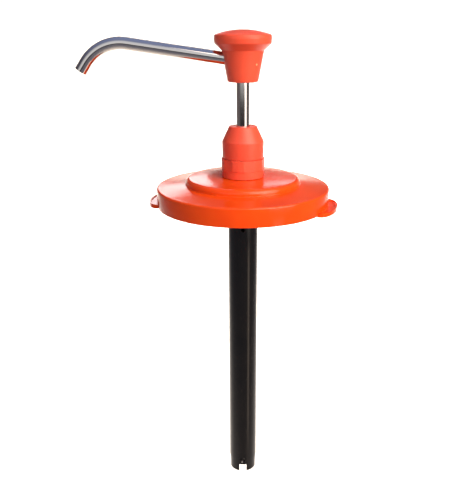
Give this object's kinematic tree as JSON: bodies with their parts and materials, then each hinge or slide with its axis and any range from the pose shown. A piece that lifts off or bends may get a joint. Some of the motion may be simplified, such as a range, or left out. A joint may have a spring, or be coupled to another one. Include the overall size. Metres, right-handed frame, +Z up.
{
  "type": "push-down dispenser pump",
  "caption": "Hand-pushed dispenser pump on a round pail lid, with a bent steel spout that swivels and a long slotted dip barrel.",
  "frame": {"origin": "centre of the flat band on the lid's underside that rests on the pail's rim", "axes": "+Z up along the pump's axis, towards the push knob; -X towards the spout's outlet"},
  "size_m": [0.2401, 0.164, 0.4604],
  "materials": {
    "red_polypropylene": "moulded, semi-gloss",
    "black_pvc": "extruded, semi-gloss",
    "stainless_steel": "polished stainless tube and wire",
    "nitrile_rubber": "matt",
    "white_acetal": "turned, matt"
  },
  "bodies": {
    "pump_body": {"lid": "red_polypropylene", "barrel_head": "black_pvc", "head_gasket": "nitrile_rubber", "clamp_nut": "red_polypropylene", "gland_cap": "red_polypropylene", "rod_bush": "white_acetal", "seal_washer": "stainless_steel", "rod_seal": "nitrile_rubber", "wiper_ring": "nitrile_rubber", "stop_buffer": "nitrile_rubber", "barrel": "black_pvc", "foot_valve_body": "black_pvc", "foot_ball_cage": "black_pvc", "return_spring": "stainless_steel"},
    "piston_group": {"piston_seal": "nitrile_rubber", "spring_seat": "white_acetal"},
    "head": {"push_knob": "red_polypropylene", "spout": "stainless_steel", "piston_rod": "stainless_steel", "stop_clip": "stainless_steel", "rod_oring": "nitrile_rubber", "spout_oring": "nitrile_rubber", "piston_body": "white_acetal", "piston_retainer": "white_acetal", "ball_stop_pin": "stainless_steel"},
    "piston_ball": {"piston_ball": "stainless_steel"},
    "foot_ball": {"foot_ball": "stainless_steel"}
  },
  "joints": [
    {"name": "plunger_stroke", "type": "slide", "parent": "pump_body", "child": "piston_group", "axis": [0, 0, -1], "range_m": [0, 0.038], "stiffness_N_per_m": 400, "springref_m": -0.03, "deforming": ["return_spring"]},
    {"name": "head_swivel", "type": "hinge", "parent": "piston_group", "child": "head", "pos_m": [0, 0, 0.116], "axis": [0, 0, 1], "continuous": true},
    {"name": "piston_ball_lift", "type": "slide", "parent": "head", "child": "piston_ball", "axis": [0, 0, 1], "range_m": [0, 0.003]},
    {"name": "foot_ball_lift", "type": "slide", "parent": "pump_body", "child": "foot_ball", "axis": [0, 0, 1], "range_m": [0, 0.003]}
  ]
}
